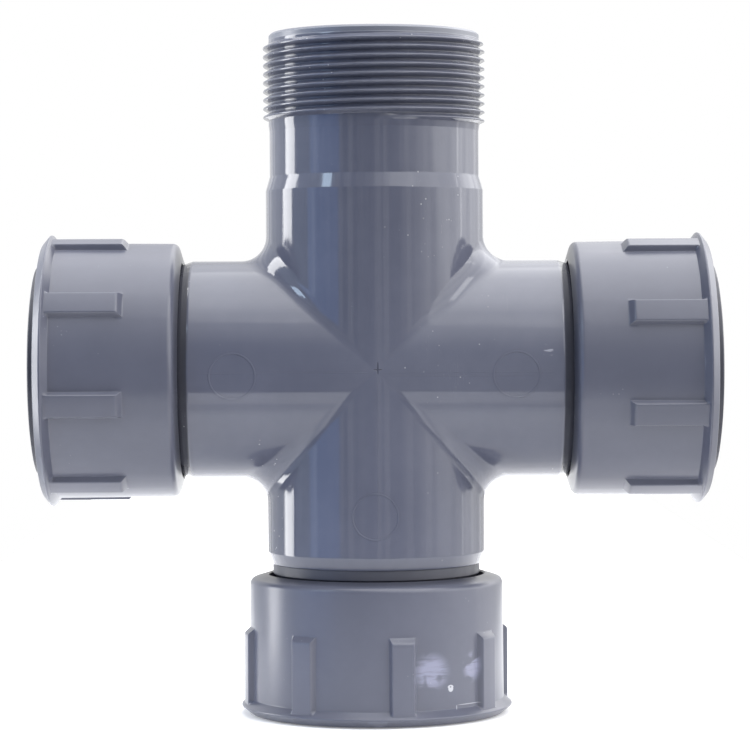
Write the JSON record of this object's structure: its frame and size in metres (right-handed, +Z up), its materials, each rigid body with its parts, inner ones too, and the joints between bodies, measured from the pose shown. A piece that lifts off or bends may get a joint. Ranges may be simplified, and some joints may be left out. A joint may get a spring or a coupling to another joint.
{
  "type": "cross fitting",
  "caption": "Plastic pipe cross with one male threaded port and swivel union nut ports on its other arms, captive on short necks with face seals.",
  "frame": {"origin": "centre of the bottom nut's outer face, which the fitting stands on at rest", "axes": "+Z up the run to the male threaded port, +X along the crossing run to the right-hand swivel port, +Y from the front to the back"},
  "size_m": [0.1814, 0.0726, 0.182],
  "materials": {
    "body_pvc": "glossy moulded blue-grey PVC-U",
    "tail_pvc": "glossy dark grey PVC-U",
    "nut_pvc": "satin moulded blue-grey PVC-U",
    "ring_acetal": "natural white acetal",
    "seal_rubber": "black EPDM"
  },
  "bodies": {
    "cross": {"cross_body": "body_pvc", "left_tailpiece": "tail_pvc", "left_o_ring": "seal_rubber", "right_tailpiece": "tail_pvc", "right_o_ring": "seal_rubber", "bottom_tailpiece": "tail_pvc", "bottom_o_ring": "seal_rubber"},
    "left_swivel_ring": {"left_retaining_ring": "ring_acetal"},
    "left_swivel_nut": {"left_nut": "nut_pvc"},
    "right_swivel_ring": {"right_retaining_ring": "ring_acetal"},
    "right_swivel_nut": {"right_nut": "nut_pvc"},
    "bottom_swivel_ring": {"bottom_retaining_ring": "ring_acetal"},
    "bottom_swivel_nut": {"bottom_nut": "nut_pvc"}
  },
  "joints": [
    {"name": "left_nut_slide", "type": "slide", "parent": "cross", "child": "left_swivel_ring", "axis": [-1, 0, 0], "range_m": [-0.0008, 0.0258]},
    {"name": "left_nut_spin", "type": "hinge", "parent": "left_swivel_ring", "child": "left_swivel_nut", "pos_m": [0, 0, 0.092], "axis": [-1, 0, 0], "continuous": true},
    {"name": "right_nut_slide", "type": "slide", "parent": "cross", "child": "right_swivel_ring", "axis": [1, 0, 0], "range_m": [-0.0008, 0.0258]},
    {"name": "right_nut_spin", "type": "hinge", "parent": "right_swivel_ring", "child": "right_swivel_nut", "pos_m": [0, 0, 0.092], "axis": [1, 0, 0], "continuous": true},
    {"name": "bottom_nut_slide", "type": "slide", "parent": "cross", "child": "bottom_swivel_ring", "axis": [0, 0, -1], "range_m": [-0.0041, 0.0225]},
    {"name": "bottom_nut_spin", "type": "hinge", "parent": "bottom_swivel_ring", "child": "bottom_swivel_nut", "pos_m": [0, 0, 0.092], "axis": [0, 0, -1], "continuous": true}
  ]
}
